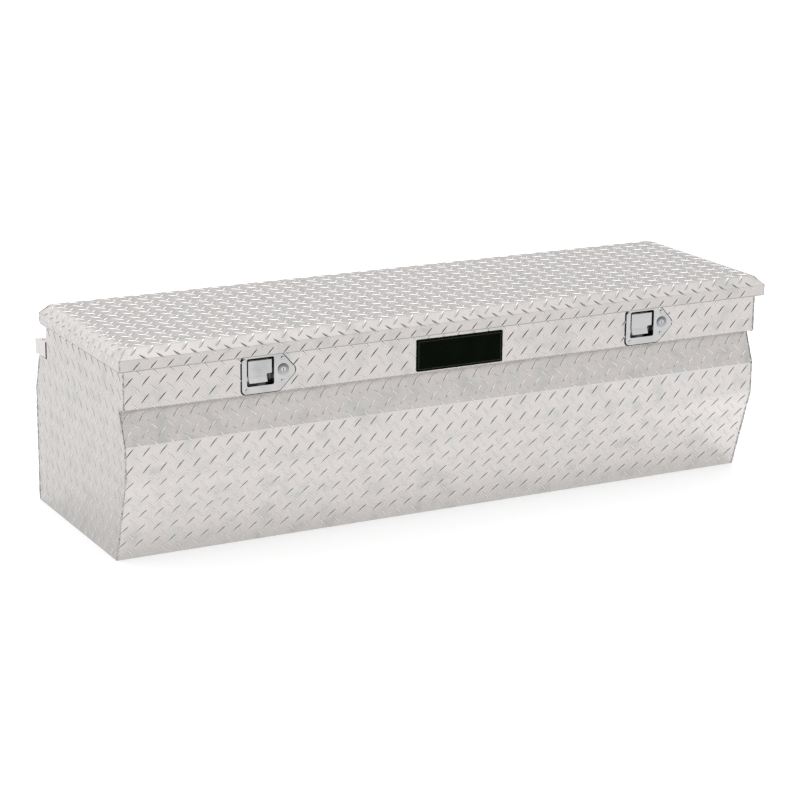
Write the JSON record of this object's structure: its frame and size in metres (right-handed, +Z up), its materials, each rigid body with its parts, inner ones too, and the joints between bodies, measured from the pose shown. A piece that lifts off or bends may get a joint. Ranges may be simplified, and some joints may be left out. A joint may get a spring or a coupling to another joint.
{
  "type": "truck tool box",
  "caption": "Chest tool box for a truck bed: waisted tread-plate tub, bevelled hinged lid on gas struts, paddle latches with key locks, blank badge.",
  "frame": {"origin": "middle of the bounding box, on the surface that the box stands on", "axes": "+Z up, +X to the right along the length, the front with the latches faces -Y"},
  "size_m": [1.552, 0.524, 0.458],
  "materials": {
    "tread_plate": "bright tread plate",
    "plain_aluminium": "mill finish",
    "stainless": "polished stainless",
    "zinc_steel": "zinc plated",
    "lock_chrome": "chrome",
    "strut_black": "black paint",
    "seal_rubber": "matt black rubber",
    "badge_black": "gloss black"
  },
  "bodies": {
    "tub": {"front_panel": "tread_plate", "floor_panel": "plain_aluminium", "rear_panel": "tread_plate", "left_end_panel": "tread_plate", "right_end_panel": "tread_plate", "front_rim": "plain_aluminium", "rear_rim": "plain_aluminium", "left_rim": "plain_aluminium", "right_rim": "plain_aluminium", "weather_seal": "seal_rubber", "rear_rail": "tread_plate", "rear_rail_rivets": "plain_aluminium", "tub_hinge_leaf": "stainless", "hinge_pin": "stainless", "tub_hinge_rivets": "plain_aluminium", "badge_plate": "badge_black", "left_latch_gasket": "seal_rubber", "left_latch_dish": "stainless", "left_latch_rivets": "stainless", "left_latch_bracket": "zinc_steel", "left_claw_pin": "zinc_steel", "left_paddle_pin": "zinc_steel", "left_paddle_spring": "zinc_steel", "left_lock_barrel": "lock_chrome", "left_lock_nut": "zinc_steel", "left_strut_lower_bracket": "zinc_steel", "right_latch_gasket": "seal_rubber", "right_latch_dish": "stainless", "right_latch_rivets": "stainless", "right_latch_bracket": "zinc_steel", "right_claw_pin": "zinc_steel", "right_paddle_pin": "zinc_steel", "right_paddle_spring": "zinc_steel", "right_lock_barrel": "lock_chrome", "right_lock_nut": "zinc_steel", "right_strut_lower_bracket": "zinc_steel"},
    "lid": {"lid_skin": "tread_plate", "lid_stiffener": "plain_aluminium", "lid_hinge_leaf": "stainless", "lid_hinge_rivets": "plain_aluminium", "left_striker": "zinc_steel", "left_strut_upper_bracket": "zinc_steel", "right_striker": "zinc_steel", "right_strut_upper_bracket": "zinc_steel"},
    "left_paddle": {"left_paddle": "stainless"},
    "left_claw": {"left_claw": "zinc_steel"},
    "left_lock": {"left_lock_plug": "lock_chrome", "left_lock_cam": "zinc_steel"},
    "left_strut_tube": {"left_strut_tube": "strut_black", "left_strut_lower_socket": "strut_black"},
    "left_strut_rod": {"left_strut_rod": "lock_chrome", "left_strut_upper_socket": "strut_black"},
    "right_paddle": {"right_paddle": "stainless"},
    "right_claw": {"right_claw": "zinc_steel"},
    "right_lock": {"right_lock_plug": "lock_chrome", "right_lock_cam": "zinc_steel"},
    "right_strut_tube": {"right_strut_tube": "strut_black", "right_strut_lower_socket": "strut_black"},
    "right_strut_rod": {"right_strut_rod": "lock_chrome", "right_strut_upper_socket": "strut_black"}
  },
  "joints": [
    {"name": "lid_hinge", "type": "hinge", "parent": "tub", "child": "lid", "pos_m": [0, 0.1918, 0.4105], "axis": [-1, 0, 0], "range_deg": [0, 70]},
    {"name": "left_paddle_swing", "type": "hinge", "parent": "tub", "child": "left_paddle", "pos_m": [-0.462, -0.2355, 0.399], "axis": [-1, 0, 0], "range_deg": [0, 30], "stiffness_Nm_per_rad": 0.3, "springref_deg": -11.46},
    {"name": "left_claw_swing", "type": "hinge", "parent": "tub", "child": "left_claw", "pos_m": [-0.462, -0.1895, 0.3945], "axis": [1, 0, 0], "range_deg": [0, 30]},
    {"name": "left_lock_turn", "type": "hinge", "parent": "tub", "child": "left_lock", "pos_m": [-0.4135, -0.245, 0.377], "axis": [0, 1, 0], "range_deg": [0, 90]},
    {"name": "left_strut_swing", "type": "hinge", "parent": "tub", "child": "left_strut_tube", "pos_m": [-0.716, 0.136, 0.272], "axis": [-1, 0, 0], "range_deg": [0, 35.94]},
    {"name": "left_strut_slide", "type": "slide", "parent": "left_strut_tube", "child": "left_strut_rod", "axis": [0, -0.5573, 0.8303], "range_m": [0, 0.10995]},
    {"name": "right_paddle_swing", "type": "hinge", "parent": "tub", "child": "right_paddle", "pos_m": [0.462, -0.2355, 0.399], "axis": [-1, 0, 0], "range_deg": [0, 30], "stiffness_Nm_per_rad": 0.3, "springref_deg": -11.46},
    {"name": "right_claw_swing", "type": "hinge", "parent": "tub", "child": "right_claw", "pos_m": [0.462, -0.1895, 0.3945], "axis": [1, 0, 0], "range_deg": [0, 30]},
    {"name": "right_lock_turn", "type": "hinge", "parent": "tub", "child": "right_lock", "pos_m": [0.5105, -0.245, 0.377], "axis": [0, 1, 0], "range_deg": [0, 90]},
    {"name": "right_strut_swing", "type": "hinge", "parent": "tub", "child": "right_strut_tube", "pos_m": [0.716, 0.136, 0.272], "axis": [-1, 0, 0], "range_deg": [0, 35.94]},
    {"name": "right_strut_slide", "type": "slide", "parent": "right_strut_tube", "child": "right_strut_rod", "axis": [0, -0.5573, 0.8303], "range_m": [0, 0.10995]}
  ],
  "couplings": [
    {"joint": "left_claw_swing", "follows": "left_paddle_swing", "ratio": 1},
    {"joint": "left_strut_swing", "follows": "lid_hinge", "ratio": 0.51322},
    {"joint": "left_strut_slide", "follows": "lid_hinge", "m_per_rad": 0.089981},
    {"joint": "right_claw_swing", "follows": "right_paddle_swing", "ratio": 1},
    {"joint": "right_strut_swing", "follows": "lid_hinge", "ratio": 0.51322},
    {"joint": "right_strut_slide", "follows": "lid_hinge", "m_per_rad": 0.089981}
  ]
}
